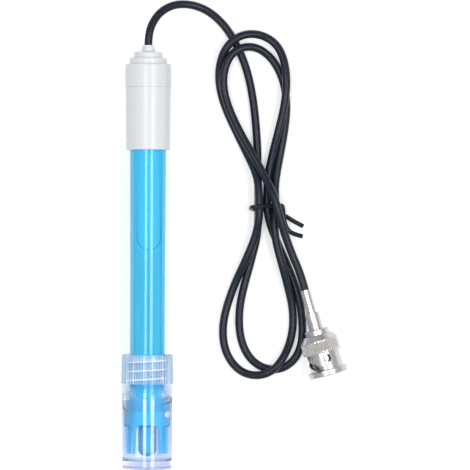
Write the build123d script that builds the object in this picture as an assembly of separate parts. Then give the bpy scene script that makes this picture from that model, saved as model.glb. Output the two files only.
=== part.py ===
from build123d import *
import math
import os

# A pH electrode with its storage bottle, cable and bayonet plug, in millimetres.
# The electrode lies along +Y, with its head at +Y and its tip at -Y, on the floor Z = 0.
# The looped cable and the plug lie beside it, at +X.

# Clearances
glue_gap = 0.05
rim_gap = 0.10
seal_gap = 0.08
running_gap = 0.07
skirt_gap = 0.30
core_gap = 0.10

# Electrode head, from the cable downwards
gland_length = 2.55
gland_tip_length = 1.25
gland_tip_diameter = 4.4
gland_root_diameter = 4.9
gland_flange_diameter = 7.2
gland_flange_thickness = 1.0
upper_step_length = 2.1
upper_step_width = 1.6
lower_step_length = 2.2
lower_step_width = 1.575
step_rounding = 0.5
cover_skirt_length = 8.3
cover_overhang = 0.15
cover_wall = 1.3
sleeve_length = 22.9
sleeve_wall = 1.385
sleeve_taper = 0.175
sleeve_end_rounding = 0.4
sleeve_spigot_length = 5.6
sleeve_spigot_wall = 1.1

# Electrode body, with a straight stretch that a holder grips
body_exposed_length = 94.75
body_insert_length = 14.0
body_grip_diameter = 12.7
body_grip_length = 22.0
body_lower_length = 21.0
body_upper_taper = 0.215
body_lower_taper = 0.05
body_wall = 1.25

# Tip guard
guard_wall = 0.8
guard_ring_length = 5.6
guard_spigot_length = 5.0
guard_spigot_wall = 0.9
tine_length = 9.95
tine_count = 4
tine_root_width = 1.25
tine_end_width = 0.75
tine_root_fillet = 1.2
tine_turn = 47.0

# Glass stem and bulb
stem_share = 0.65
stem_wall = 0.6
stem_rise = 1.0
stem_shoulder_length = 2.5
stem_tip_share = 0.725
stem_tip_wall = 0.5
bulb_length = 8.7
bulb_reach = 0.8

# What fills the stem and the body
buffer_air_length = 20.0
gel_air_depth = 36.3
gel_film = 0.65

# Seals and plugs inside the body
top_stopper_length = 5.0
top_stopper_sink = 3.0
stem_stopper_length = 3.0
lower_seal_length = 3.6
junction_ring_length = 2.6

# Wires inside the electrode
silver_wire_diameter = 0.5
chloride_diameter = 0.9
chloride_length = 7.7
inner_wire_clearance = 18.2
reference_wire_length = 82.0
splice_diameter = 2.0
splice_length = 6.0
splice_rise = 3.0
splice_overlap = 2.5
shield_lead_diameter = 0.6
shield_lead_offset = 1.2
shield_lead_drop = 1.0
shield_lead_rise = 0.65
core_diameter = 1.5
jacket_tail_length = 11.0

# Storage bottle
storage_gap = 2.65
vial_floor = 3.0
vial_body_length = 30.7
vial_room = 1.4
vial_shoulder_wall = 1.45
vial_base_wall = 1.35
vial_shoulder_rounding = 0.3
vial_base_rounding = 0.8
vial_floor_rounding = 1.4
vial_neck_length = 7.9
vial_neck_room = 0.4
vial_neck_wall = 1.0
cap_length = 10.7
cap_wall = 1.17
cap_taper = 0.17
cap_top_thickness = 1.2
cap_edge_rounding = 0.5
cap_thread_room = 0.5
cap_rib_count = 54
cap_rib_depth = 0.28
cap_rib_share = 0.28
cap_valley_share = 0.40
seal_ring_section = 1.6

# Cable and its tie
cable_diameter = 2.96
tie_wire_diameter = 1.65

# Bayonet plug: where its axis starts on the floor plan, and which way it points
plug_x = 57.3
plug_y = -11.9
plug_turn = 15.9
plug_lead_in = 6.6

# Bayonet plug, from the cable forwards
ferrule_length = 10.3
ferrule_diameter = 3.5
ferrule_insert = 1.6
barrel_length = 6.2
barrel_diameter = 5.1
flange_length = 1.8
flange_diameter = 8.7
neck_diameter = 8.4
neck_front_length = 1.0
retaining_groove_depth = 0.25
retaining_ring_thickness = 0.6
retaining_ring_diameter = 9.6
retaining_ring_mouth = 3.0
spring_washer_diameter = 9.6
spring_washer_thickness = 0.3
spring_washer_height = 0.8
nut_travel = 0.9
nut_rear_gap = 0.2
nut_cone_length = 2.1
nut_cone_diameter = 10.6
nut_band_length = 4.5
nut_band_diameter = 13.8
nut_sleeve_length = 6.3
nut_sleeve_diameter = 12.0
nut_front_length = 2.2
nut_front_diameter = 14.25
nut_edge_rounding = 0.3
nut_web_thickness = 1.5
nut_chamber_diameter = 10.6
nut_chamber_length = 3.9
nut_bore_diameter = 9.8
gasket_diameter = 9.3
gasket_thickness = 1.2
contact_diameter = 8.0
contact_wall = 0.5
contact_spigot_length = 2.4
contact_spigot_diameter = 7.0
contact_setback = 2.4
contact_slit_width = 0.4
contact_slit_length = 5.5
insulator_diameter = 6.0
insulator_length = 7.5
insulator_nose_diameter = 4.2
insulator_nose_length = 2.0
centre_pin_diameter = 1.35
centre_pin_rounding = 0.5
centre_pin_root_diameter = 2.0
centre_pin_root_length = 6.0
centre_pin_setback = 3.5

# Bayonet cams in the coupling nut, with angles about its axis from the plug's right side
cam_width = 2.2
cam_depth = 0.75
cam_hole_diameter = 3.0
cam_hole_setback = 6.2
cam_hole_angle = 80.0
cam_window_angle = 108.0
cam_entry_angle = 185.0
cam_lead = 3.4
cam_copies = 2

# Tie wire, from one end on the floor, over the bundle, down and back under it
tie_points = [
    (56.5, 7.7, 0.9), (54.1, 8.3, 0.9), (51.5, 9.4, 0.95), (50.0, 12.0, 1.7), (49.4, 15.5, 2.9),
    (49.2, 18.2, 4.0), (48.8, 19.0, 6.3), (46.0, 18.9, 6.8), (43.3, 18.7, 7.6), (40.6, 18.5, 9.4),
    (38.0, 18.3, 8.8), (37.4, 18.0, 5.0), (37.6, 17.7, 0.9), (41.5, 17.6, 0.9), (46.6, 17.0, 0.9),
    (49.9, 15.3, 0.9), (53.2, 13.2, 0.9), (56.7, 11.4, 0.9),
]

# Cable route between the gland and the plug. It arches to the floor, runs through the tie,
# makes a loop below it and one above it, then the same again upon the first strands,
# and crosses over the tie to the plug.
cable_points = [
    (0.0, 80.4, 9.42), (1.2, 84.9, 8.8), (4.2, 89.3, 7.4), (9.1, 92.1, 5.4), (14.7, 92.4, 3.5),
    (20.2, 90.8, 2.2), (25.0, 87.5, 1.6), (29.7, 82.1, 1.5), (35.2, 71.2, 1.5), (38.1, 59.1, 1.5),
    (39.7, 43.6, 1.5), (40.0, 31.1, 1.5), (40.2, 22.3, 3.3), (40.2, 14.7, 3.3), (39.9, 7.8, 1.5),
    (37.5, -1.7, 1.5), (34.4, -13.0, 1.5), (33.3, -19.9, 1.5), (33.4, -27.1, 1.5), (34.9, -33.0, 1.5),
    (38.0, -37.9, 1.5), (43.0, -40.9, 1.5), (48.8, -41.0, 1.5), (53.6, -37.7, 1.5), (56.1, -32.3, 1.5),
    (56.6, -26.0, 1.5), (56.0, -18.7, 1.5), (54.2, -11.1, 1.5), (50.8, -2.6, 1.5), (47.2, 5.3, 1.5),
    (44.7, 11.4, 2.4), (43.4, 16.9, 3.4), (43.4, 22.7, 3.4), (43.5, 28.9, 1.9), (45.1, 36.9, 2.6),
    (47.4, 46.0, 4.0), (49.7, 55.5, 4.7), (50.5, 64.5, 4.7), (49.5, 72.2, 4.0), (46.8, 77.8, 3.3),
    (42.1, 81.0, 3.2), (36.5, 81.8, 4.0), (31.2, 79.8, 4.9), (27.4, 75.4, 4.5), (25.6, 69.2, 2.6),
    (25.8, 62.3, 1.5), (27.9, 54.7, 1.5), (32.8, 44.3, 1.5), (36.5, 36.9, 2.8), (39.8, 29.6, 5.4),
    (40.5, 22.3, 6.5), (40.6, 14.7, 6.5), (39.3, 7.8, 4.9), (35.7, -1.0, 4.0), (31.8, -9.3, 1.8),
    (28.7, -18.1, 1.5), (27.3, -25.0, 1.5), (27.6, -31.9, 1.5), (29.9, -37.7, 1.5), (34.2, -42.1, 2.0),
    (40.0, -43.5, 3.7), (45.6, -41.6, 4.9), (49.4, -37.0, 4.1), (51.9, -31.4, 2.0), (53.1, -25.3, 1.5),
    (52.9, -18.4, 1.5), (51.3, -11.4, 2.6), (48.9, -2.7, 4.4), (47.0, 4.2, 4.7), (46.1, 9.6, 5.3),
    (46.2, 15.1, 4.9), (46.5, 20.5, 3.4), (46.2, 26.7, 2.4), (47.7, 35.4, 1.5), (49.5, 44.9, 1.5),
    (50.6, 54.4, 1.5), (49.8, 62.4, 1.5), (47.7, 68.5, 1.5), (44.4, 73.4, 1.5), (39.7, 76.7, 2.6),
    (34.4, 76.9, 4.3), (30.0, 74.1, 5.0), (27.7, 69.1, 4.9), (27.1, 63.0, 4.7), (28.6, 55.9, 4.6),
    (32.7, 46.7, 4.8), (38.2, 37.2, 5.9), (42.9, 28.7, 7.2), (45.9, 22.4, 9.3), (47.7, 15.8, 9.3),
    (49.9, 8.2, 7.9), (52.6, 0.9, 7.3),
]

# Diameters of the electrode and its bottle, worked out from the body's
body_top_diameter = body_grip_diameter + 2 * body_upper_taper
body_end_diameter = body_grip_diameter - 2 * body_lower_taper
body_bore_diameter = body_grip_diameter - 2 * body_wall
sleeve_end_diameter = body_top_diameter + 2 * (glue_gap + sleeve_wall)
sleeve_top_diameter = sleeve_end_diameter + 2 * sleeve_taper
cover_diameter = sleeve_top_diameter + 2 * cover_overhang
lower_step_diameter = cover_diameter - 2 * lower_step_width
upper_step_diameter = lower_step_diameter - 2 * upper_step_width
guard_diameter = body_end_diameter
stem_diameter = body_bore_diameter * stem_share
stem_tip_diameter = stem_diameter * stem_tip_share
reference_wire_offset = (stem_diameter + body_bore_diameter) / 4
vial_bore_diameter = body_grip_diameter + 2 * vial_room
vial_shoulder_diameter = vial_bore_diameter + 2 * vial_shoulder_wall
vial_base_diameter = vial_bore_diameter + 2 * vial_base_wall
vial_neck_bore = body_grip_diameter + 2 * vial_neck_room
vial_neck_diameter = vial_neck_bore + 2 * vial_neck_wall
cap_hole_diameter = vial_neck_bore
cap_skirt_bore = vial_neck_diameter + 2 * cap_thread_room
cap_diameter = cap_skirt_bore + 2 * cap_wall
cap_top_diameter = cap_diameter - 2 * cap_taper

# Stations of the electrode along Y, worked out from the lengths above
total_length = (gland_length + upper_step_length + lower_step_length + cover_skirt_length
                + sleeve_length + body_exposed_length + guard_ring_length + tine_length
                + storage_gap + vial_floor)
top_y = total_length / 2
gland_root_y = top_y - gland_length
upper_step_y = gland_root_y - upper_step_length
lower_step_y = upper_step_y - lower_step_length
cover_edge_y = lower_step_y - cover_skirt_length
sleeve_edge_y = cover_edge_y - sleeve_length
body_top_y = sleeve_edge_y + body_insert_length
body_end_y = sleeve_edge_y - body_exposed_length
guard_ring_y = body_end_y - guard_ring_length
tine_end_y = guard_ring_y - tine_length
vial_floor_y = tine_end_y - storage_gap
vial_base_y = vial_floor_y - vial_floor
vial_shoulder_y = vial_base_y + vial_body_length
vial_rim_y = vial_shoulder_y + vial_neck_length
cap_edge_y = vial_shoulder_y + skirt_gap
cap_top_y = cap_edge_y + cap_length
cap_inner_top_y = cap_top_y - cap_top_thickness
bulb_end_y = tine_end_y - bulb_reach
bulb_start_y = bulb_end_y + bulb_length
shoulder_top_y = body_end_y + stem_shoulder_length / 2
shoulder_end_y = shoulder_top_y - stem_shoulder_length
stem_top_y = body_top_y + stem_rise
spigot_top_y = body_end_y + guard_spigot_length
stopper_top_y = body_top_y - top_stopper_sink
stopper_end_y = stopper_top_y - top_stopper_length
buffer_top_y = stem_top_y - stem_stopper_length - buffer_air_length
gel_air_end_y = sleeve_edge_y - gel_air_depth
inner_wire_end_y = bulb_end_y + inner_wire_clearance
splice_end_y = stem_top_y + splice_rise
splice_top_y = splice_end_y + splice_length
wire_top_y = splice_end_y + splice_overlap
core_end_y = splice_top_y - splice_overlap
reference_wire_end_y = wire_top_y - reference_wire_length
jacket_end_y = top_y - jacket_tail_length

# The electrode rests on the flat tip of its cap's lowest rib
rib_half_angle = 360 / cap_rib_count * cap_rib_share / 2
axis_height = cap_diameter / 2 * math.cos(math.radians(rib_half_angle))

# The electrode's own frame: local Z runs along +Y, and local +Y points down
electrode_frame = Location((0, 0, axis_height), (-90, 0, 0))

# The plug's own frame: local Z runs out of its mouth, and local +Y points up
plug_height = nut_front_diameter / 2
plug_place = Location((plug_x, plug_y, plug_height), (0, 0, plug_turn))
plug_frame = plug_place * Location((0, 0, 0), (90, 0, 0))

# Stations of the plug along its own Z, worked out from its lengths
barrel_start = ferrule_length - ferrule_insert
flange_start = barrel_start + barrel_length
neck_start = flange_start + flange_length
nut_start = neck_start + nut_rear_gap
nut_band_start = nut_start + nut_cone_length
nut_sleeve_start = nut_band_start + nut_band_length
nut_front_start = nut_sleeve_start + nut_sleeve_length
nut_end = nut_front_start + nut_front_length
chamber_start = nut_start + nut_web_thickness
chamber_end = chamber_start + nut_chamber_length
washer_start = chamber_start + rim_gap
groove_start = washer_start + spring_washer_height + nut_travel + rim_gap
groove_end = groove_start + retaining_ring_thickness + 2 * glue_gap
neck_end = groove_end + neck_front_length
contact_seat = neck_end + glue_gap
contact_end = nut_end - contact_setback
insulator_start = neck_start + glue_gap
insulator_face = insulator_start + insulator_length
cam_hole_station = nut_end - cam_hole_setback


def turned(points, frame):
    """A solid of revolution from a closed outline of (radius, station) points, set in a frame.
    A third number at a point rounds that corner."""
    corners = [point[:2] for point in points]
    roundings = [point[2] if len(point) > 2 else 0 for point in points]
    outline = FilletPolyline(*corners, radius=roundings, close=True)
    standing = Plane.XZ * make_face(outline)
    return frame * revolve(standing, Axis.Z)


def rod(radius, start, end, frame, down=0.0):
    """A straight round rod between two stations, set down from the axis by a distance."""
    return frame * Pos(0, down, (start + end) / 2) * Cylinder(radius, abs(end - start))


def tube(inner_radius, outer_radius, start, end, frame):
    """A plain tube between two stations."""
    corners = [(inner_radius, start), (outer_radius, start), (outer_radius, end), (inner_radius, end)]
    return turned(corners, frame)


def round_ended(radius, end_y, rod_top_y):
    """A rod along the electrode's axis whose lower end is a hemisphere that touches end_y."""
    straight = rod(radius, end_y + radius, rod_top_y, electrode_frame)
    return straight + electrode_frame * Pos(0, 0, end_y + radius) * Sphere(radius)


def bend_radii(points):
    """The arc radius at each corner of a route, as large as its two runs allow."""
    places = [Vector(*point) for point in points]
    radii = []
    for before, here, after in zip(places, places[1:], places[2:]):
        first_run = here - before
        second_run = after - here
        half_turn = math.radians(first_run.get_angle(second_run)) / 2
        shorter = min(first_run.length, second_run.length)
        radii.append(0.45 * shorter / math.tan(half_turn))
    return radii


def round_wire(name, points, radii, diameter):
    """A round section swept along straight runs joined by tangent arcs."""
    path = FilletPolyline(*points, radius=radii)
    section = Plane(origin=path @ 0, z_dir=path % 0) * Circle(diameter / 2)
    wire = sweep(section, path=path)
    share = wire.volume / (math.pi * diameter ** 2 / 4 * path.length)
    print(name, "length", round(path.length, 1), "volume over section times length", round(share, 5))
    print(name, "bend radii", [round(radius, 1) for radius in radii])
    return wire


# Electrode head

def make_head_cover():
    bore = cover_diameter / 2 - cover_wall
    flange_room = gland_flange_diameter / 2 + glue_gap
    flange_top_y = upper_step_y + gland_flange_thickness
    hole = gland_root_diameter / 2 + glue_gap
    return turned([
        (bore, cover_edge_y), (cover_diameter / 2, cover_edge_y),
        (cover_diameter / 2, lower_step_y, step_rounding), (lower_step_diameter / 2, lower_step_y),
        (lower_step_diameter / 2, upper_step_y, step_rounding), (upper_step_diameter / 2, upper_step_y),
        (upper_step_diameter / 2, gland_root_y, step_rounding), (hole, gland_root_y),
        (hole, flange_top_y), (flange_room, flange_top_y),
        (flange_room, lower_step_y - cover_wall), (bore, lower_step_y - cover_wall),
    ], electrode_frame)


def make_head_sleeve():
    spigot = cover_diameter / 2 - cover_wall - glue_gap
    cavity = spigot - sleeve_spigot_wall
    body_room = body_top_diameter / 2 + glue_gap
    shoulder_y = cover_edge_y - glue_gap
    ledge_y = body_top_y + rim_gap
    return turned([
        (body_room, sleeve_edge_y), (sleeve_end_diameter / 2, sleeve_edge_y, sleeve_end_rounding),
        (sleeve_top_diameter / 2, shoulder_y), (spigot, shoulder_y),
        (spigot, cover_edge_y + sleeve_spigot_length), (cavity, cover_edge_y + sleeve_spigot_length),
        (cavity, ledge_y), (body_room, ledge_y),
    ], electrode_frame)


def make_cable_gland():
    bore = cable_diameter / 2 + glue_gap
    flange_top_y = upper_step_y + gland_flange_thickness - glue_gap
    flange_end_y = flange_top_y - gland_flange_thickness
    tip_ring_y = top_y - gland_tip_length
    return turned([
        (bore, flange_end_y), (gland_flange_diameter / 2, flange_end_y),
        (gland_flange_diameter / 2, flange_top_y), (gland_root_diameter / 2, flange_top_y),
        (gland_root_diameter / 2, tip_ring_y), (gland_tip_diameter / 2, tip_ring_y),
        (gland_tip_diameter / 2, top_y), (bore, top_y),
    ], electrode_frame)


# Electrode body and tip

def make_body_tube():
    bore = body_bore_diameter / 2
    grip = body_grip_diameter / 2
    grip_end_y = body_end_y + body_lower_length
    return turned([
        (bore, body_end_y), (body_end_diameter / 2, body_end_y), (grip, grip_end_y),
        (grip, grip_end_y + body_grip_length), (body_top_diameter / 2, sleeve_edge_y),
        (body_top_diameter / 2, body_top_y), (bore, body_top_y),
    ], electrode_frame)


def make_tine_outline():
    """One tine laid flat, with filleted roots and a round end."""
    root = tine_root_width / 2
    end = tine_end_width / 2
    reach = tine_root_fillet
    bow = reach * (1 - math.sqrt(0.5))
    side_top_y = guard_ring_y - reach
    side_end_y = tine_end_y + end
    right = [
        ThreePointArc((root + reach, guard_ring_y), (root + bow, guard_ring_y - bow), (root, side_top_y)),
        Line((root, side_top_y), (end, side_end_y)),
    ]
    left = [
        Line((-end, side_end_y), (-root, side_top_y)),
        ThreePointArc((-root, side_top_y), (-root - bow, guard_ring_y - bow), (-root - reach, guard_ring_y)),
    ]
    tip = ThreePointArc((end, side_end_y), (0, tine_end_y), (-end, side_end_y))
    overlap_y = guard_ring_y + glue_gap
    back = Polyline((-root - reach, guard_ring_y), (-root - reach, overlap_y),
                    (root + reach, overlap_y), (root + reach, guard_ring_y))
    return make_face(right + [tip] + left + back.edges())


def make_tip_guard():
    outer = guard_diameter / 2
    inner = outer - guard_wall
    spigot = body_bore_diameter / 2 - glue_gap
    seat_y = body_end_y - glue_gap
    ledge_y = shoulder_end_y + rim_gap
    guard = turned([
        (inner, guard_ring_y), (outer, guard_ring_y), (outer, seat_y), (spigot, seat_y),
        (spigot, spigot_top_y), (spigot - guard_spigot_wall, spigot_top_y),
        (spigot - guard_spigot_wall, ledge_y), (inner, ledge_y),
    ], electrode_frame)
    shell = tube(inner, outer, tine_end_y, guard_ring_y + glue_gap, electrode_frame)
    raised = Pos(0, 0, axis_height) * extrude(make_tine_outline(), amount=outer)
    for index in range(tine_count):
        turn = tine_turn + 360 * index / tine_count
        about_axis = Pos(0, 0, axis_height) * Rot(0, turn, 0) * Pos(0, 0, -axis_height)
        guard += shell & (about_axis * raised)
    return guard


def make_glass_stem():
    outer = stem_diameter / 2
    tip = stem_tip_diameter / 2
    return turned([
        (tip - stem_tip_wall, bulb_start_y), (tip, bulb_start_y), (tip, shoulder_end_y),
        (outer, shoulder_top_y), (outer, stem_top_y), (outer - stem_wall, stem_top_y),
        (outer - stem_wall, shoulder_top_y), (tip - stem_tip_wall, shoulder_end_y),
    ], electrode_frame)


def make_sensing_bulb():
    outer = stem_tip_diameter / 2
    shell = round_ended(outer, bulb_end_y, bulb_start_y - glue_gap)
    return shell - round_ended(outer - stem_tip_wall, bulb_end_y + stem_tip_wall, bulb_start_y)


def make_inner_silver_wire():
    wire = rod(silver_wire_diameter / 2, inner_wire_end_y, wire_top_y, electrode_frame)
    coating_top_y = inner_wire_end_y + chloride_length
    return wire + rod(chloride_diameter / 2, inner_wire_end_y, coating_top_y, electrode_frame)


def make_buffer_fill():
    wide = stem_diameter / 2 - stem_wall - glue_gap
    narrow = stem_tip_diameter / 2 - stem_tip_wall - glue_gap
    end_y = bulb_end_y + stem_tip_wall + glue_gap
    column = turned([
        (0, end_y + narrow), (narrow, end_y + narrow), (narrow, shoulder_end_y),
        (wide, shoulder_top_y), (wide, buffer_top_y), (0, buffer_top_y),
    ], electrode_frame)
    fill = column + electrode_frame * Pos(0, 0, end_y + narrow) * Sphere(narrow)
    coating_top_y = inner_wire_end_y + chloride_length + glue_gap
    fill -= rod(chloride_diameter / 2 + glue_gap, inner_wire_end_y - glue_gap, coating_top_y, electrode_frame)
    return fill - rod(silver_wire_diameter / 2 + glue_gap, coating_top_y, buffer_top_y, electrode_frame)


def make_reference_gel():
    outer = body_bore_diameter / 2 - glue_gap
    gel_top_y = stopper_end_y - glue_gap
    gel = tube(stem_diameter / 2 + glue_gap, outer, spigot_top_y + glue_gap, gel_top_y, electrode_frame)
    gel -= round_ended(outer - gel_film, gel_air_end_y, gel_top_y)
    channel = rod(silver_wire_diameter / 2 + glue_gap, reference_wire_end_y - glue_gap, gel_top_y,
                  electrode_frame, reference_wire_offset)
    return gel - channel


def make_reference_wire():
    return rod(silver_wire_diameter / 2, reference_wire_end_y, wire_top_y, electrode_frame,
               reference_wire_offset)


def make_top_stopper():
    stopper = tube(stem_diameter / 2 + glue_gap, body_bore_diameter / 2 - glue_gap,
                   stopper_end_y, stopper_top_y, electrode_frame)
    return stopper - rod(silver_wire_diameter / 2 + glue_gap, stopper_end_y, stopper_top_y,
                         electrode_frame, reference_wire_offset)


def make_stem_stopper():
    return tube(silver_wire_diameter / 2 + glue_gap, stem_diameter / 2 - stem_wall - glue_gap,
                stem_top_y - stem_stopper_length, stem_top_y, electrode_frame)


def make_lower_seal():
    outer = body_bore_diameter / 2 - guard_spigot_wall - 2 * glue_gap
    start_y = shoulder_top_y + glue_gap
    return tube(stem_diameter / 2 + glue_gap, outer, start_y, start_y + lower_seal_length, electrode_frame)


def make_junction_ring():
    outer = guard_diameter / 2 - guard_wall - glue_gap
    top = shoulder_end_y - glue_gap
    return tube(stem_tip_diameter / 2 + glue_gap, outer, top - junction_ring_length, top, electrode_frame)


def make_splice(lead_diameter, down):
    """A crimp sleeve, blind from both ends, for the lead above it and the wire below it."""
    sleeve = rod(splice_diameter / 2, splice_end_y, splice_top_y, electrode_frame, down)
    sleeve -= rod(silver_wire_diameter / 2 + glue_gap, splice_end_y, wire_top_y + glue_gap,
                  electrode_frame, down)
    return sleeve - rod(lead_diameter / 2 + glue_gap, core_end_y - glue_gap, splice_top_y,
                        electrode_frame, down)


def make_shield_lead():
    bend_start = jacket_end_y - shield_lead_drop
    bend_end = splice_top_y + shield_lead_rise
    points = [
        (0, shield_lead_offset, jacket_end_y - glue_gap), (0, shield_lead_offset, bend_start),
        (0, reference_wire_offset, bend_end), (0, reference_wire_offset, core_end_y),
    ]
    radii = [shield_lead_diameter] * 2
    return electrode_frame * round_wire("shield lead", points, radii, shield_lead_diameter)


# Storage bottle

def make_vial():
    bore = vial_bore_diameter / 2
    neck = vial_neck_diameter / 2
    neck_bore = vial_neck_bore / 2
    throat_y = vial_shoulder_y - (bore - neck_bore)
    return turned([
        (0, vial_base_y), (vial_base_diameter / 2, vial_base_y, vial_base_rounding),
        (vial_shoulder_diameter / 2, vial_shoulder_y, vial_shoulder_rounding), (neck, vial_shoulder_y),
        (neck, vial_rim_y), (neck_bore, vial_rim_y), (neck_bore, vial_shoulder_y), (bore, throat_y),
        (bore, vial_floor_y, vial_floor_rounding), (0, vial_floor_y),
    ], electrode_frame)


def make_reeded_outline():
    """The reeded outline of the cap, with one rib at the very bottom."""
    tip = cap_diameter / 2
    root = tip - cap_rib_depth
    pitch = 360 / cap_rib_count
    steps = ((-cap_valley_share, root), (-cap_rib_share / 2, tip),
             (cap_rib_share / 2, tip), (cap_valley_share, root))
    corners = []
    for index in range(cap_rib_count):
        for share, radius in steps:
            angle = math.radians(90 + pitch * (index + share))
            corners.append((radius * math.cos(angle), radius * math.sin(angle)))
    return make_face(Polyline(*corners, close=True))


def make_screw_cap():
    reeded = electrode_frame * Pos(0, 0, cap_edge_y) * extrude(make_reeded_outline(), amount=cap_length)
    shell = turned([
        (cap_hole_diameter / 2, cap_inner_top_y), (cap_skirt_bore / 2, cap_inner_top_y),
        (cap_skirt_bore / 2, cap_edge_y), (cap_diameter / 2 + glue_gap, cap_edge_y),
        (cap_top_diameter / 2, cap_top_y, cap_edge_rounding), (cap_hole_diameter / 2, cap_top_y),
    ], electrode_frame)
    return reeded & shell


def make_seal_ring():
    radius = body_grip_diameter / 2 + seal_gap + seal_ring_section / 2
    middle_y = (cap_inner_top_y + vial_rim_y) / 2
    return electrode_frame * Pos(0, 0, middle_y) * Torus(radius, seal_ring_section / 2)


# Cable and tie

def make_cable():
    """The jacketed cable, with its bared core standing out of the jacket at both ends."""
    plug_end = plug_frame.position
    lead_in = (plug_frame * Location((0, 0, -plug_lead_in))).position
    route = [Vector(0, top_y, axis_height)] + [Vector(*point) for point in cable_points]
    route += [lead_in, plug_end]
    points = [tuple(place) for place in route]
    cable = round_wire("cable", points, bend_radii(points), cable_diameter)
    cable += rod(cable_diameter / 2, jacket_end_y, top_y, electrode_frame)
    cable += rod(core_diameter / 2, core_end_y, jacket_end_y, electrode_frame)
    cable += rod(cable_diameter / 2, 0, barrel_start, plug_frame)
    return cable + rod(core_diameter / 2, barrel_start, insulator_start, plug_frame)


def make_twist_tie():
    return round_wire("tie", tie_points, bend_radii(tie_points), tie_wire_diameter)


# Bayonet plug

def make_crimp_ferrule():
    return tube(cable_diameter / 2 + glue_gap, ferrule_diameter / 2, 0, ferrule_length, plug_frame)


def make_connector_body():
    neck = neck_diameter / 2
    groove = neck - retaining_groove_depth
    ferrule_room = ferrule_diameter / 2 + glue_gap
    core_room = core_diameter / 2 + core_gap
    contact_room = contact_spigot_diameter / 2 + glue_gap
    insulator_room = insulator_diameter / 2 + glue_gap
    ferrule_stop = ferrule_length + rim_gap
    contact_stop = contact_seat - contact_spigot_length - glue_gap
    return turned([
        (ferrule_room, barrel_start), (barrel_diameter / 2, barrel_start),
        (barrel_diameter / 2, flange_start), (flange_diameter / 2, flange_start, nut_edge_rounding),
        (flange_diameter / 2, neck_start), (neck, neck_start), (neck, groove_start),
        (groove, groove_start), (groove, groove_end), (neck, groove_end), (neck, neck_end),
        (contact_room, neck_end), (contact_room, contact_stop), (insulator_room, contact_stop),
        (insulator_room, neck_start), (core_room, neck_start), (core_room, ferrule_stop),
        (ferrule_room, ferrule_stop),
    ], plug_frame)


def make_outer_contact():
    outer = contact_diameter / 2
    bore = outer - contact_wall
    spigot = contact_spigot_diameter / 2
    spigot_bore = insulator_diameter / 2 + glue_gap
    contact = turned([
        (spigot_bore, contact_seat - contact_spigot_length), (spigot, contact_seat - contact_spigot_length),
        (spigot, contact_seat), (outer, contact_seat), (outer, contact_end), (bore, contact_end),
        (bore, contact_seat + contact_wall), (spigot_bore, contact_seat + contact_wall),
    ], plug_frame)
    middle = contact_end - contact_slit_length / 2
    for turn in (45, 135):
        slits = Box(2 * contact_diameter, contact_slit_width, contact_slit_length)
        contact -= plug_frame * Pos(0, 0, middle) * Rot(0, 0, turn) * slits
    return contact


def make_insulator():
    outer = insulator_diameter / 2
    root_room = centre_pin_root_diameter / 2 + glue_gap
    pin_room = centre_pin_diameter / 2 + glue_gap
    root_end = insulator_start + centre_pin_root_length
    return turned([
        (root_room, insulator_start), (outer, insulator_start), (outer, insulator_face),
        (insulator_nose_diameter / 2, insulator_face),
        (insulator_nose_diameter / 2, insulator_face + insulator_nose_length),
        (pin_room, insulator_face + insulator_nose_length), (pin_room, root_end), (root_room, root_end),
    ], plug_frame)


def make_centre_pin():
    start = insulator_start + rim_gap
    root_end = insulator_start + centre_pin_root_length - glue_gap
    pin_end = nut_end - centre_pin_setback
    return turned([
        (0, start), (centre_pin_root_diameter / 2, start), (centre_pin_root_diameter / 2, root_end),
        (centre_pin_diameter / 2, root_end), (centre_pin_diameter / 2, pin_end, centre_pin_rounding),
        (0, pin_end),
    ], plug_frame)


def make_front_gasket():
    start = neck_end + glue_gap
    return tube(contact_diameter / 2 + glue_gap, gasket_diameter / 2, start, start + gasket_thickness,
                plug_frame)


def make_retaining_ring():
    inner = neck_diameter / 2 - retaining_groove_depth + glue_gap
    start = groove_start + glue_gap
    ring = tube(inner, retaining_ring_diameter / 2, start, start + retaining_ring_thickness, plug_frame)
    mouth = Box(retaining_ring_mouth, retaining_ring_diameter, 3 * retaining_ring_thickness)
    return ring - plug_frame * Pos(0, -retaining_ring_diameter / 2, start) * mouth


def make_spring_washer():
    """A ring cut from a sheet that is bent to an arc, so that it springs flat."""
    bore = neck_diameter / 2 + running_gap
    rise = spring_washer_height - spring_washer_thickness
    half_width = spring_washer_diameter / 2
    lower = ThreePointArc((-half_width, 0), (0, rise), (half_width, 0))
    sheet = make_face(Polyline((-half_width, 0), (-half_width, spring_washer_thickness)).edges()
                      + [Pos(0, spring_washer_thickness) * lower]
                      + Polyline((half_width, spring_washer_thickness), (half_width, 0)).edges() + [lower])
    bent = plug_frame * Pos(0, 0, washer_start) * extrude(
        Plane.XZ * sheet, amount=half_width, both=True)
    end = washer_start + spring_washer_height
    return bent & tube(bore, half_width, washer_start, end, plug_frame)


def cam_cutter(start_angle, start_station, end_angle, end_station):
    """A round-ended slot between two points on the sleeve, cut straight in from outside it."""
    radius = nut_sleeve_diameter / 2
    middle_angle = (start_angle + end_angle) / 2
    half_width = radius * math.sin(math.radians(abs(end_angle - start_angle) / 2))
    start = Vector(half_width, start_station)
    end = Vector(-half_width, end_station)
    run = end - start
    slot = SlotOverall(run.length + cam_width, cam_width, rotation=math.degrees(math.atan2(run.Y, run.X)))
    flat = Pos(0, (start_station + end_station) / 2) * slot
    facing = Plane(origin=(0, 0, 0), x_dir=(1, 0, 0), z_dir=(0, -1, 0))
    return plug_frame * Rot(0, 0, middle_angle + 90) * extrude(facing * flat, amount=nut_front_diameter)


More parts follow.
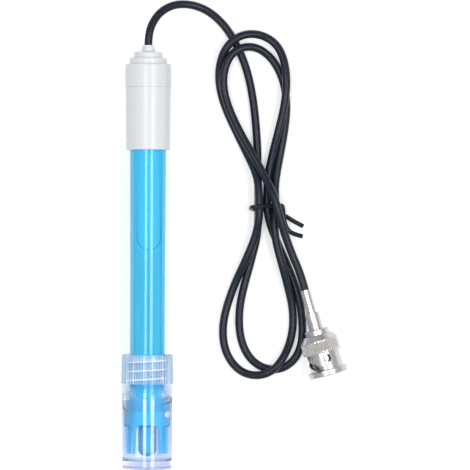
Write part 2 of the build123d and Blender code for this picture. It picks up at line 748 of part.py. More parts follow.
def make_coupling_nut():
    web_bore = neck_diameter / 2 + running_gap
    bore = nut_bore_diameter / 2
    chamber = nut_chamber_diameter / 2
    sleeve = nut_sleeve_diameter / 2
    nut = turned([
        (web_bore, nut_start), (nut_cone_diameter / 2, nut_start), (nut_band_diameter / 2, nut_band_start),
        (nut_band_diameter / 2, nut_sleeve_start, nut_edge_rounding), (sleeve, nut_sleeve_start),
        (sleeve, nut_front_start), (nut_front_diameter / 2, nut_front_start, nut_edge_rounding),
        (nut_front_diameter / 2, nut_end, nut_edge_rounding), (bore, nut_end), (bore, chamber_end),
        (chamber, chamber_end), (chamber, chamber_start), (web_bore, chamber_start),
    ], plug_frame)
    groove_room = rod(bore + cam_depth, chamber_end, nut_end + cam_width, plug_frame)
    entry_station = cam_hole_station + cam_lead
    entry_length = nut_end - entry_station + cam_width
    for copy in range(cam_copies):
        turn = 360 * copy / cam_copies
        hole_angle = cam_hole_angle + turn
        window_angle = cam_window_angle + turn
        entry_angle = cam_entry_angle + turn
        hole = Rot(0, 0, hole_angle) * Pos(sleeve, 0, cam_hole_station) * Rot(0, 90, 0) * Cylinder(
            cam_hole_diameter / 2, nut_sleeve_diameter / 2)
        nut -= plug_frame * hole
        nut -= cam_cutter(window_angle, cam_hole_station, entry_angle, entry_station)
        nut -= groove_room & cam_cutter(hole_angle, cam_hole_station, window_angle, cam_hole_station)
        entry = Rot(0, 0, entry_angle) * Pos(sleeve, 0, entry_station + entry_length / 2) * Box(
            nut_sleeve_diameter / 2, cam_width, entry_length)
        nut -= groove_room & (plug_frame * entry)
    return nut


pieces = {
    "head_cover": make_head_cover(),
    "head_sleeve": make_head_sleeve(),
    "cable_gland": make_cable_gland(),
    "body_tube": make_body_tube(),
    "tip_guard": make_tip_guard(),
    "glass_stem": make_glass_stem(),
    "sensing_bulb": make_sensing_bulb(),
    "inner_silver_wire": make_inner_silver_wire(),
    "buffer_fill": make_buffer_fill(),
    "reference_gel": make_reference_gel(),
    "reference_wire": make_reference_wire(),
    "top_stopper": make_top_stopper(),
    "stem_stopper": make_stem_stopper(),
    "lower_seal": make_lower_seal(),
    "junction_ring": make_junction_ring(),
    "core_splice": make_splice(core_diameter, 0),
    "shield_splice": make_splice(shield_lead_diameter, reference_wire_offset),
    "shield_lead": make_shield_lead(),
    "cable": make_cable(),
    "twist_tie": make_twist_tie(),
    "crimp_ferrule": make_crimp_ferrule(),
    "connector_body": make_connector_body(),
    "outer_contact": make_outer_contact(),
    "insulator": make_insulator(),
    "centre_pin": make_centre_pin(),
    "front_gasket": make_front_gasket(),
    "retaining_ring": make_retaining_ring(),
    "spring_washer": make_spring_washer(),
    "coupling_nut": make_coupling_nut(),
    "vial": make_vial(),
    "seal_ring": make_seal_ring(),
    "screw_cap": make_screw_cap(),
}

os.makedirs("parts", exist_ok=True)
for name, piece in pieces.items():
    export_step(piece, f"parts/{name}.step")
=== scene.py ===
import math

import bmesh
import bpy
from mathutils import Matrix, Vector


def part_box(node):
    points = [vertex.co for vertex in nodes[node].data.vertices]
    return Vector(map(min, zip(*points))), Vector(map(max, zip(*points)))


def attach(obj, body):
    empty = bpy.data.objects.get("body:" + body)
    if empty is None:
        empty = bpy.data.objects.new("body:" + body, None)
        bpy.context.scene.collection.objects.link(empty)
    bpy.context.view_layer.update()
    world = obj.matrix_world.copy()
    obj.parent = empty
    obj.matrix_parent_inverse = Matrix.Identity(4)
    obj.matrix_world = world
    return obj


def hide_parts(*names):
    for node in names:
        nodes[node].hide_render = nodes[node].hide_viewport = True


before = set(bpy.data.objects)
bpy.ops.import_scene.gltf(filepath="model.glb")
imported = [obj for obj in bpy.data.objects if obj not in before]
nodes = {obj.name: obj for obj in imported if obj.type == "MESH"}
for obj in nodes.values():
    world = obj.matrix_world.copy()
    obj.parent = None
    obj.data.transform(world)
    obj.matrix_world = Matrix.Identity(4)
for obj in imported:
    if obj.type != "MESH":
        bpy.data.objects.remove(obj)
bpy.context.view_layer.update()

MM = 0.001

# The photograph's frame: pixels to a millimetre, and the pixel above the electrode's middle
PIXELS_PER_MM = 2.75
FRAME_PIXELS = 470
ORIGIN_PIXEL = (147.7, 257.05)
CAMERA_ROLL = math.radians(0.19)
LENS_MM = 300.0
SENSOR_MM = 36.0

# Height of the electrode's axis, from the frame
ELECTRODE_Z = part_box("body_tube")[0].z / 2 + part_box("body_tube")[1].z / 2

# The storage bottle and its thread, in millimetres. The liquid's skin lies WETTING deep in the
# bottle's wall.
VIAL_BORE = 15.5
VIAL_FLOOR_Y = -74.0
WETTING = 0.05
THREAD_PITCH = 3.2

# The tip guard's tines, and how far the first is turned from straight up
TINES = 4
TINE_TURN = math.radians(47)

# How strongly the bottle's and the cap's clear plastic bends light
CLEAR_PLASTIC_IOR = 1.49

# The Mix node's sockets when it mixes colours
MIX_FACTOR, MIX_FIRST, MIX_SECOND, MIX_RESULT = 0, 6, 7, 2

# The cable's route, from its gland to its plug, in millimetres
CABLE_DIAMETER = 2.96
PLUG_END = (57.3, -11.9, 7.125)
PLUG_TURN = math.radians(15.9)
PLUG_AXIS = (math.sin(PLUG_TURN), -math.cos(PLUG_TURN), 0)
CABLE_POINTS = [
    (0.0, 77.0, 9.42), (0.0, 80.4, 9.42), (1.2, 84.9, 8.8), (4.2, 89.3, 7.4),
    (9.1, 92.1, 5.4), (14.7, 92.4, 3.5), (20.2, 90.8, 2.2), (25.0, 87.5, 1.6),
    (29.7, 82.1, 1.5), (35.2, 71.2, 1.5), (38.1, 59.1, 1.5), (39.7, 43.6, 1.5),
    (40.0, 31.1, 1.5), (40.2, 22.3, 3.3), (40.2, 14.7, 3.3), (39.9, 7.8, 1.5),
    (37.5, -1.7, 1.5), (34.4, -13.0, 1.5), (33.3, -19.9, 1.5), (33.4, -27.1, 1.5),
    (34.9, -33.0, 1.5), (38.0, -37.9, 1.5), (43.0, -40.9, 1.5), (48.8, -41.0, 1.5),
    (53.6, -37.7, 1.5), (56.1, -32.3, 1.5), (56.6, -26.0, 1.5), (56.0, -18.7, 1.5),
    (54.2, -11.1, 1.5), (50.8, -2.6, 1.5), (47.2, 5.3, 1.5), (44.7, 11.4, 2.4),
    (43.4, 16.9, 3.4), (43.4, 22.7, 3.4), (43.5, 28.9, 1.9), (45.1, 36.9, 2.6),
    (47.4, 46.0, 4.0), (49.7, 55.5, 4.7), (50.5, 64.5, 4.7), (49.5, 72.2, 4.0),
    (46.8, 77.8, 3.3), (42.1, 81.0, 3.2), (36.5, 81.8, 4.0), (31.2, 79.8, 4.9),
    (27.4, 75.4, 4.5), (25.6, 69.2, 2.6), (25.8, 62.3, 1.5), (27.9, 54.7, 1.5),
    (32.8, 44.3, 1.5), (36.5, 36.9, 2.8), (39.8, 29.6, 5.4), (40.5, 22.3, 6.5),
    (40.6, 14.7, 6.5), (39.3, 7.8, 4.9), (35.7, -1.0, 4.0), (31.8, -9.3, 1.8),
    (28.7, -18.1, 1.5), (27.3, -25.0, 1.5), (27.6, -31.9, 1.5), (29.9, -37.7, 1.5),
    (34.2, -42.1, 2.0), (40.0, -43.5, 3.7), (45.6, -41.6, 4.9), (49.4, -37.0, 4.1),
    (51.9, -31.4, 2.0), (53.1, -25.3, 1.5), (52.9, -18.4, 1.5), (51.3, -11.4, 2.6),
    (48.9, -2.7, 4.4), (47.0, 4.2, 4.7), (46.1, 9.6, 5.3), (46.2, 15.1, 4.9),
    (46.5, 20.5, 3.4), (46.2, 26.7, 2.4), (47.7, 35.4, 1.5), (49.5, 44.9, 1.5),
    (50.6, 54.4, 1.5), (49.8, 62.4, 1.5), (47.7, 68.5, 1.5), (44.4, 73.4, 1.5),
    (39.7, 76.7, 2.6), (34.4, 76.9, 4.3), (30.0, 74.1, 5.0), (27.7, 69.1, 4.9),
    (27.1, 63.0, 4.7), (28.6, 55.9, 4.6), (32.7, 46.7, 4.8), (38.2, 37.2, 5.9),
    (42.9, 28.7, 7.2), (45.9, 22.4, 9.3), (47.7, 15.8, 9.3), (49.9, 8.2, 7.9),
    (52.6, 0.9, 7.3), (55.49, -5.55, 7.125), PLUG_END,
]


def link(obj):
    bpy.context.scene.collection.objects.link(obj)
    return obj


# Camera

def make_camera():
    """Looks straight down, rolled a little, with the electrode where the photograph has it."""
    half_frame = FRAME_PIXELS / 2
    across = (half_frame - ORIGIN_PIXEL[0]) / PIXELS_PER_MM
    up = (ORIGIN_PIXEL[1] - half_frame) / PIXELS_PER_MM
    x = across * math.cos(CAMERA_ROLL) - up * math.sin(CAMERA_ROLL)
    y = up * math.cos(CAMERA_ROLL) + across * math.sin(CAMERA_ROLL)
    view_width = FRAME_PIXELS / PIXELS_PER_MM * MM
    data = bpy.data.cameras.new("camera")
    data.lens = LENS_MM
    data.sensor_width = SENSOR_MM
    data.clip_end = 10.0
    camera = link(bpy.data.objects.new("camera", data))
    camera.location = (x * MM, y * MM, ELECTRODE_Z + view_width * LENS_MM / SENSOR_MM)
    camera.rotation_euler = (0, 0, CAMERA_ROLL)
    bpy.context.scene.camera = camera


# Cable

def make_cable():
    data = bpy.data.curves.new("cable_run", "CURVE")
    data.dimensions = "3D"
    data.resolution_u = 8
    data.bevel_depth = CABLE_DIAMETER / 2 * MM
    data.bevel_resolution = 8
    data.use_fill_caps = True
    spline = data.splines.new("NURBS")
    spline.points.add(len(CABLE_POINTS) - 1)
    for point, place in zip(spline.points, CABLE_POINTS):
        point.co = (place[0] * MM, place[1] * MM, place[2] * MM, 1)
    spline.order_u = 3
    spline.use_endpoint_u = True
    cable = link(bpy.data.objects.new("cable_run", data))
    cable.data.materials.append(black_rubber("cable_jacket"))
    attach(cable, "root")
    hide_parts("cable")


# Materials

def colour_mix(tree):
    node = tree.nodes.new("ShaderNodeMix")
    node.data_type = "RGBA"
    return node


def either(tree, first, second):
    """The larger of two values."""
    node = tree.nodes.new("ShaderNodeMath")
    node.operation = "MAXIMUM"
    tree.links.new(first, node.inputs[0])
    tree.links.new(second, node.inputs[1])
    return node.outputs[0]


class Surface:
    """A material with one Principled shader, and helpers that add procedural detail to it."""

    def __init__(self, name, roughness, **sockets):
        self.material = bpy.data.materials.new(name)
        self.material.use_nodes = True
        self.tree = self.material.node_tree
        self.shader = self.tree.nodes["Principled BSDF"]
        self.output = self.tree.nodes["Material Output"]
        self.shader.inputs["Roughness"].default_value = roughness
        for socket, value in sockets.items():
            label = socket.replace("_", " ").title().replace("Ior", "IOR")
            self.shader.inputs[label].default_value = value
        self.place = self.new("TexCoord").outputs["Object"]

    def new(self, kind):
        return self.tree.nodes.new("ShaderNode" + kind)

    def join(self, source, target):
        self.tree.links.new(source, target)

    def maths(self, operation, first, second=0.0):
        node = self.new("Math")
        node.operation = operation
        for socket, value in zip(node.inputs, (first, second)):
            if isinstance(value, (int, float)):
                socket.default_value = value
            else:
                self.join(value, socket)
        return node.outputs[0]

    def product(self, value, *factors):
        for factor in factors:
            value = self.maths("MULTIPLY", value, factor)
        return value

    def apart(self, value, middle):
        """How far a value lies from a middle one, on either side."""
        return self.maths("ABSOLUTE", self.maths("SUBTRACT", value, middle))

    def spread(self, factor, low, high, start=0.3, stop=0.7):
        """A value that goes from low to high as the factor goes from start to stop."""
        node = self.new("MapRange")
        limits = {"From Min": start, "From Max": stop, "To Min": low, "To Max": high}
        for socket, value in limits.items():
            node.inputs[socket].default_value = value
        self.join(factor, node.inputs["Value"])
        return node.outputs["Result"]

    def along(self, axis):
        parts = self.new("SeparateXYZ")
        self.join(self.place, parts.inputs[0])
        return parts.outputs[axis]

    def change(self, axis, low, high, start, stop):
        """A value that goes from low to high between two places on an axis, in millimetres."""
        return self.spread(self.along(axis), low, high, start * MM, stop * MM)

    def beyond(self, axis, place):
        """One past a place on an axis, in millimetres, and zero before it."""
        return self.maths("GREATER_THAN", self.along(axis), place * MM)

    def within(self, axis, low, high):
        """One between two places on an axis, in millimetres, and zero elsewhere."""
        before = self.maths("LESS_THAN", self.along(axis), high * MM)
        return self.product(self.beyond(axis, low), before)

    def noise(self, scale, detail=2.0, stretch=(1, 1, 1)):
        mapping = self.new("Mapping")
        mapping.inputs["Scale"].default_value = stretch
        self.join(self.place, mapping.inputs["Vector"])
        texture = self.new("TexNoise")
        texture.inputs["Scale"].default_value = scale
        texture.inputs["Detail"].default_value = detail
        self.join(mapping.outputs["Vector"], texture.inputs["Vector"])
        return texture.outputs["Fac"]

    def colours(self, factor, low, high, start=0.3, stop=0.7):
        ramp = self.new("ValToRGB")
        ramp.color_ramp.elements[0].position = start
        ramp.color_ramp.elements[1].position = stop
        ramp.color_ramp.elements[0].color = (*low, 1)
        ramp.color_ramp.elements[1].color = (*high, 1)
        self.join(factor, ramp.inputs["Fac"])
        self.join(ramp.outputs["Color"], self.shader.inputs["Base Color"])

    def rough(self, factor, low, high):
        self.join(self.spread(factor, low, high), self.shader.inputs["Roughness"])

    def bump(self, factor, height_mm, strength):
        bump = self.new("Bump")
        bump.inputs["Strength"].default_value = strength
        bump.inputs["Distance"].default_value = height_mm * MM
        self.join(factor, bump.inputs["Height"])
        self.join(bump.outputs["Normal"], self.shader.inputs["Normal"])

    def blend(self, share, tint):
        """Lets light straight through, tinted, except for a share that the shader keeps.
        Returns the node that lets it through."""
        clear = self.new("BsdfTransparent")
        clear.inputs["Color"].default_value = (*tint, 1)
        mix = self.new("MixShader")
        self.join(share, mix.inputs[0])
        self.join(clear.outputs[0], mix.inputs[1])
        self.join(self.shader.outputs[0], mix.inputs[2])
        self.join(mix.outputs[0], self.output.inputs["Surface"])
        return clear

    def clear_to_lamps(self, tint):
        """Lets the lamps light what is behind the surface, as real clear plastic does."""
        share = self.maths("SUBTRACT", 1.0, self.new("LightPath").outputs["Is Shadow Ray"])
        self.blend(share, tint)

    def lit_through(self, share, dimming):
        """A share for blend that holds back less of the lamps' light, which scatters through."""
        held = self.product(self.new("LightPath").outputs["Is Shadow Ray"], dimming)
        return self.product(share, self.maths("SUBTRACT", 1.0, held))

    def from_line(self, point, direction):
        """How far the surface lies from a line."""
        offset = self.new("VectorMath")
        offset.operation = "SUBTRACT"
        self.join(self.place, offset.inputs[0])
        offset.inputs[1].default_value = point
        across = self.new("VectorMath")
        across.operation = "CROSS_PRODUCT"
        self.join(offset.outputs[0], across.inputs[0])
        across.inputs[1].default_value = direction
        length = self.new("VectorMath")
        length.operation = "LENGTH"
        self.join(across.outputs[0], length.inputs[0])
        return length.outputs["Value"]

    def from_axis(self):
        """How far the surface lies from the electrode's axis."""
        return self.from_line((0, 0, ELECTRODE_Z), (0, 1, 0))

    def around(self):
        """The angle about the electrode's axis, in radians from straight up."""
        up = self.maths("SUBTRACT", self.along("Z"), ELECTRODE_Z)
        return self.maths("ARCTAN2", self.along("X"), up)

    def facing(self, low, high, start, stop):
        """A value that goes from low, where the surface faces the eye, to high at its outline."""
        weight = self.new("LayerWeight")
        weight.inputs["Blend"].default_value = 0.5
        return self.spread(weight.outputs["Facing"], low, high, start, stop)

    def dim(self, factor):
        """Multiplies the base colour by a factor."""
        tint = colour_mix(self.tree)
        tint.blend_type = "MULTIPLY"
        tint.inputs[MIX_FACTOR].default_value = 1.0
        base = self.shader.inputs["Base Color"]
        self.join(base.links[0].from_socket, tint.inputs[MIX_FIRST])
        self.join(factor, tint.inputs[MIX_SECOND])
        self.join(tint.outputs[MIX_RESULT], base)

    def darken(self, mask, least):
        """Dims the base colour, down to its least factor where the mask is one."""
        self.dim(self.spread(mask, 1.0, least, 0.0, 1.0))


def shade(colour, factor):
    return tuple(min(1.0, channel * factor) for channel in colour)


def white_plastic(name):
    surface = Surface(name, 0.3, specular_ior_level=0.5)
    base = (0.735, 0.765, 0.775)
    surface.colours(surface.noise(45, stretch=(1, 0.3, 1)), shade(base, 0.985), shade(base, 1.01))
    surface.rough(surface.noise(300), 0.26, 0.34)
    surface.bump(surface.noise(900, 1), 0.002, 0.3)
    return surface.material


def painted_air_space_shade(surface):
    """Painted shade: the dark line that the round-ended air space inside makes on the wall in front
    of it, painted on the wall's upper side only.
    """
    middle_x, end_centre_y, radius = 0.5, 6.85, 4.2
    across = surface.maths("SUBTRACT", surface.along("X"), middle_x * MM)
    below = surface.maths("SUBTRACT", surface.along("Y"), end_centre_y * MM)
    below = surface.maths("MINIMUM", below, 0.0)
    squares = surface.maths("ADD", surface.product(across, across), surface.product(below, below))
    off = surface.apart(surface.maths("SQRT", squares), radius * MM)
    line = surface.spread(off, 1.0, 0.0, 0.05 * MM, 0.3 * MM)
    upper_side = surface.maths("GREATER_THAN", surface.along("Z"), ELECTRODE_Z)
    return surface.product(line, surface.change("Y", 1.0, 0.0, 4.0, 26.0), upper_side)


def painted_ring_edge_shade(surface):
    """One where shade is painted on the edge of the guard's ring between its tines, and zero
    elsewhere.
    """
    from_tine = surface.maths("SUBTRACT", surface.around(), TINE_TURN)
    on_tines = surface.maths("COSINE", surface.product(from_tine, TINES))
    between = surface.spread(on_tines, 1.0, 0.0, -0.1, 0.5)
    return surface.product(between, surface.change("Y", 1.0, 0.0, -61.2, -60.8),
                           surface.beyond("Y", -62.2))


def blue_plastic(name, share, tint, edge, gloss):
    """Blue plastic, faintly see-through, which holds its colour in its outer skin. Its colour
    carries painted shade: at its outline, along the air space's round end and on the guard ring's
    edge.
    """
    surface = Surface(name, 0.1, specular_ior_level=gloss)
    surface.colours(surface.noise(420, stretch=(1, 0.02, 1)), (0.045, 0.61, 1.0), (0.10, 0.70, 1.0))
    # painted shade: the colour darkens towards the outline as the surface turns from the eye
    surface.dim(surface.facing(1.0, edge, 0.7, 1.0))
    # painted shade: a dark line where the air space's round end lies behind the wall
    surface.darken(painted_air_space_shade(surface), 0.55)
    # painted shade: a near-black line on the guard ring's edge between the tines
    surface.darken(painted_ring_edge_shade(surface), 0.08)
    surface.rough(surface.noise(300), 0.07, 0.12)
    surface.bump(surface.noise(260, 1, stretch=(1, 0.05, 1)), 0.006, 0.3)
    inner_share, skin_radius = 0.05, 5.8
    outside = surface.maths("GREATER_THAN", surface.from_axis(), skin_radius * MM)
    skin = surface.maths("ADD", surface.product(outside, share - inner_share), inner_share)
    surface.blend(surface.lit_through(skin, 0.85), tint)
    return surface.material


def clear_liquid(name, ior):
    surface = Surface(name, 0.0, ior=ior, transmission_weight=1.0)
    surface.colours(surface.noise(80), (0.96, 0.98, 0.995), (0.975, 0.99, 1.0))
    surface.rough(surface.noise(500), 0.0, 0.005)
    surface.bump(surface.noise(160, 1), 0.008, 0.2)
    surface.clear_to_lamps((0.98, 0.99, 1.0))
    return surface.material


def bottle_material():
    """Clear plastic, deeper in tint through its thick base; its neck hardly bends light."""
    surface = Surface("bottle_plastic", 0.0, ior=CLEAR_PLASTIC_IOR, transmission_weight=1.0)
    above_base = surface.change("Y", 0.0, 1.0, -74.6, -73.2)
    surface.colours(above_base, (0.43, 0.47, 0.62), (0.71, 0.765, 0.88), 0.0, 1.0)
    surface.rough(surface.noise(500), 0.0, 0.02)
    surface.bump(surface.noise(160, 1), 0.008, 0.25)
    wall_tint, neck_tint = (0.95, 0.965, 0.99), (0.89, 0.925, 0.972)
    neck = surface.change("Y", 0.0, 1.0, -52.0, -47.8)
    shadow = surface.new("LightPath").outputs["Is Shadow Ray"]
    passed = surface.maths("MAXIMUM", surface.product(neck, 0.9), shadow)
    clear = surface.blend(surface.maths("SUBTRACT", 1.0, passed), wall_tint)
    seen_neck = surface.product(neck, surface.maths("SUBTRACT", 1.0, shadow))
    tint = colour_mix(surface.tree)
    surface.join(seen_neck, tint.inputs[MIX_FACTOR])
    tint.inputs[MIX_FIRST].default_value = (*wall_tint, 1)
    tint.inputs[MIX_SECOND].default_value = (*neck_tint, 1)
    surface.join(tint.outputs[MIX_RESULT], clear.inputs["Color"])
    return surface.material


def cap_material():
    """Clear plastic with fine ribs, frosted on their tips, and the pale lines of its thread: a
    painted highlight along each line and a painted shadow just below it.
    """
    surface = Surface("cap_plastic_surface", 0.1, ior=CLEAR_PLASTIC_IOR, transmission_weight=0.9)
    thread_start_y, edge_y, taper = -42.6, -46.0, 0.016
    turns = surface.product(surface.around(), 1 / (2 * math.pi))
    rise = surface.maths("SUBTRACT", surface.along("Y"), thread_start_y * MM)
    rise = surface.product(rise, 1 / (THREAD_PITCH * MM))
    place = surface.maths("FRACT", surface.maths("SUBTRACT", rise, turns))
    sideways = surface.maths("ABSOLUTE", surface.along("X"))
    shown = surface.product(surface.within("Y", -45.3, -36.6),
                            surface.spread(sideways, 1.0, 0.0, 5.6 * MM, 7.6 * MM))
    # painted highlight: a pale band along the thread's helix, which also lets less light through
    line = surface.product(surface.spread(surface.apart(place, 0.5), 0.8, 0.0, 0.02, 0.085), shown)
    # painted shadow: a darker band just below each pale band
    painted_thread_shadow = surface.product(surface.spread(surface.apart(place, 0.31), 0.7, 0.0, 0.02, 0.1), shown)
    surface.colours(line, (0.56, 0.73, 0.89), (0.92, 0.95, 1.0), 0.0, 1.0)
    surface.dim(surface.spread(surface.noise(200), 0.96, 1.03))
    surface.darken(painted_thread_shadow, 0.72)
    narrowing = surface.product(surface.maths("SUBTRACT", surface.along("Y"), edge_y * MM), taper)
    reach = surface.maths("ADD", surface.from_axis(), narrowing)
    clearness = surface.spread(reach, 0.93, 0.5, 9.2 * MM, 9.38 * MM)
    clearness = surface.product(clearness, surface.spread(line, 1.0, 0.25, 0.0, 1.0))
    surface.join(clearness, surface.shader.inputs["Transmission Weight"])
    surface.rough(surface.noise(500), 0.09, 0.15)
    surface.clear_to_lamps((0.95, 0.97, 0.99))
    return surface.material


def thread_highlight_material(name, least_share):
    """A painted highlight: the bright line that a thread's crest makes in clear plastic, given to
    the ridge as a pale, partly opaque colour.
    """
    surface = Surface(name, 0.2)
    surface.colours(surface.noise(300), (0.86, 0.9, 0.97), (0.93, 0.95, 0.99))
    share = surface.spread(surface.noise(150), least_share, least_share + 0.1)
    surface.blend(surface.lit_through(share, 0.8), (0.97, 0.98, 1.0))
    return surface.material


def gel_material():
    """A clear gel, dark only where the skin of its air space is seen edge on: that darkness is
    painted shade.
    """
    surface = Surface("gel", 0.2)
    surface.colours(surface.noise(300), (0.30, 0.82, 0.98), (0.36, 0.88, 1.0))
    # painted shade: the colour darkens towards the outline as the surface turns from the eye
    surface.dim(surface.facing(1.0, 0.3, 0.5, 0.75))
    inner = surface.maths("LESS_THAN", surface.from_axis(), 4.7 * MM)
    inner = surface.product(inner, surface.beyond("Y", 2.0), 0.9)
    outer = surface.maths("GREATER_THAN", surface.from_axis(), 4.75 * MM)
    share = surface.maths("ADD", inner, surface.product(outer, 0.5))
    surface.blend(surface.lit_through(surface.maths("ADD", share, 0.03), 0.85), (0.96, 0.99, 1.0))
    return surface.material


def stem_material():
    """Thin glass: pale and clear inside the body, bluer round the free bulb, and dark-edged by
    painted shade at its outline.
    """
    surface = Surface("electrode_glass", 0.05, specular_ior_level=0.06)
    inside_body = surface.change("Y", 0.0, 1.0, -62, -55)
    surface.colours(inside_body, (0.07, 0.56, 0.9), (0.40, 0.88, 1.0), 0.0, 1.0)
    # painted shade: the colour darkens almost to black towards the outline
    surface.dim(surface.facing(1.0, 0.04, 0.52, 0.72))
    surface.rough(surface.noise(400), 0.03, 0.07)
    share = surface.facing(0.3, 0.98, 0.4, 0.75)
    surface.blend(surface.lit_through(share, 0.85), (0.86, 0.97, 1.0))
    return surface.material


def buffer_material():
    """Blue filling, with the dark coated end of the silver wire showing from its middle."""
    surface = Surface("buffer_liquid", 0.2, specular_ior_level=0.1)
    surface.colours(surface.noise(200), (0.13, 0.70, 0.98), (0.17, 0.76, 1.0))
    surface.darken(surface.product(surface.within("X", -0.1, 0.95),
                                   surface.change("Y", 1.0, 0.0, -49, -46),
                                   surface.change("Y", 0.0, 1.0, -56, -52)), 0.12)
    share = surface.spread(surface.noise(120), 0.85, 0.95)
    surface.blend(surface.lit_through(share, 0.5), (0.5, 0.93, 1.0))
    return surface.material


def silver_material():
    """Bright drawn silver, with the dark chloride coating on its lower end."""
    surface = Surface("silver_wire", 0.3, metallic=0.3)
    coating_top_y = -46.2
    above = surface.maths("SUBTRACT", surface.along("Y"), coating_top_y * MM)
    surface.colours(above, (0.008, 0.09, 0.17), (0.62, 0.8, 0.86), 0.0, 0.01)
    surface.rough(surface.noise(900), 0.25, 0.4)
    return surface.material


def black_rubber(name):
    surface = Surface(name, 0.28, specular_ior_level=0.26)
    surface.colours(surface.noise(500), (0.009, 0.013, 0.024), (0.013, 0.018, 0.031))
    surface.rough(surface.noise(1200), 0.25, 0.31)
    surface.bump(surface.noise(1500, 2), 0.004, 0.3)
    return surface.material


def metal(name, colour, low, high):
    surface = Surface(name, low, metallic=1.0)
    surface.colours(surface.noise(500), shade(colour, 0.94), colour)
    surface.rough(surface.noise(1600, 3), low, high)
    surface.bump(surface.noise(3000, 3), 0.002, 0.2)
    return surface.material


def knurl_material():
    """Nickel, with painted shade dulling the knurl's grooves and a painted highlight brightening
    its points.
    """
    surface = Surface("knurl_nickel", 0.3, metallic=1.0)
    reach = surface.from_line([value * MM for value in PLUG_END], PLUG_AXIS)
    shade_to_highlight = surface.spread(reach, 0.0, 1.0, 6.93 * MM, 7.08 * MM)
    # painted shade in the grooves, rising to a painted highlight on the points
    surface.colours(shade_to_highlight, (0.62, 0.6, 0.58), (1.0, 0.97, 0.9), 0.0, 1.0)
    surface.rough(surface.noise(1600, 3), 0.26, 0.36)
    return surface.material


def matt(name, colour, roughness):
    surface = Surface(name, roughness)
    surface.colours(surface.noise(700), shade(colour, 0.93), shade(colour, 1.04))
    surface.rough(surface.noise(1500), roughness * 0.85, min(1, roughness * 1.1))
    surface.bump(surface.noise(3000, 3), 0.01, 0.4)
    return surface.material


def dress(names, material):
    for name in names:
        data = nodes[name].data
        data.materials.clear()
        data.materials.append(material)


def dress_cad_nodes():
    dress(["head_cover", "head_sleeve", "cable_gland"], white_plastic("head_plastic"))
    dress(["body_tube"], blue_plastic("body_plastic", share=0.62, tint=(0.45, 0.90, 1.0),
                                      edge=0.7, gloss=0.8))
    dress(["tip_guard"], blue_plastic("guard_plastic", share=0.75, tint=(0.4, 0.88, 1.0),
                                      edge=0.75, gloss=0.12))
    dress(["glass_stem", "sensing_bulb"], stem_material())
    dress(["buffer_fill"], buffer_material())
    dress(["reference_gel"], gel_material())
    dress(["inner_silver_wire", "reference_wire"], silver_material())
    dress(["core_splice", "shield_splice", "shield_lead"],
          metal("tinned", (0.7, 0.7, 0.68), 0.25, 0.4))
    dress(["top_stopper", "stem_stopper", "lower_seal"],
          matt("seal_rubber_surface", (0.30, 0.72, 0.9), 0.5))
    dress(["seal_ring"], matt("bottle_seal_surface", (0.66, 0.84, 0.95), 0.4))
    dress(["junction_ring"], matt("porous_ceramic", (0.4, 0.75, 0.9), 0.8))
    dress(["twist_tie"], black_rubber("tie_cover"))
    dress(["crimp_ferrule", "connector_body", "outer_contact", "coupling_nut"],
          metal("nickel_plate", (0.58, 0.565, 0.555), 0.26, 0.34))
    dress(["retaining_ring", "spring_washer"],
          metal("spring_steel_surface", (0.55, 0.55, 0.56), 0.25, 0.35))
    dress(["insulator"], matt("waxy_insulator", (0.86, 0.86, 0.84), 0.45))
    dress(["centre_pin"], metal("gold_plate", (0.9, 0.68, 0.32), 0.15, 0.25))
    dress(["front_gasket"], matt("gasket_rubber_surface", (0.35, 0.08, 0.05), 0.6))
    dress(["vial"], bottle_material())
    dress(["screw_cap"], cap_material())


# Extra pieces

def mesh_piece(name, points, faces, body, material, flat=False):
    """A mesh piece given in millimetres, riding on a body."""
    mesh = bpy.data.meshes.new(name)
    mesh.from_pydata([tuple(value * MM for value in point) for point in points], [], faces)
    mesh.validate()
    form = bmesh.new()
    form.from_mesh(mesh)
    bmesh.ops.recalc_face_normals(form, faces=form.faces)
    form.to_mesh(mesh)
    form.free()
    if flat:
        mesh.shade_flat()
    else:
        mesh.shade_smooth()
    mesh.set_sharp_from_angle(angle=math.radians(35))
    mesh.materials.append(material)
    piece = link(bpy.data.objects.new(name, mesh))
    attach(piece, body)
    return piece


def lathe(profile, segments=96):
    """Points and faces of a turned form about the electrode's axis, closed at its two ends.
    A profile point is a radius, a place along Y and how far it rises per millimetre of X."""
    points = []
    faces = []
    middle = ELECTRODE_Z / MM
    last = len(profile) - 1
    for index, (radius, y, slope) in enumerate(profile):
        count = 1 if index in (0, last) else segments
        for step in range(count):
            angle = 2 * math.pi * step / segments
            x = radius * math.sin(angle)
            points.append((x, y + slope * x, middle + radius * math.cos(angle)))

    def ring(index):
        return 1 + (index - 1) * segments

    for step in range(segments):
        after = (step + 1) % segments
        faces.append((0, ring(1) + step, ring(1) + after))
        faces.append((ring(last), ring(last - 1) + after, ring(last - 1) + step))
        for index in range(1, last - 1):
            low, high = ring(index), ring(index + 1)
            faces.append((low + step, high + step, high + after, low + after))
    return points, faces


def fillet_arc(radius_centre, y_centre, radius, steps=6):
    """Radii and places of a quarter-round corner, from a floor up to a wall."""
    arc = []
    for step in range(steps + 1):
        angle = math.radians(90 * step / steps)
        arc.append((radius_centre + radius * math.sin(angle), y_centre - radius * math.cos(angle)))
    return arc


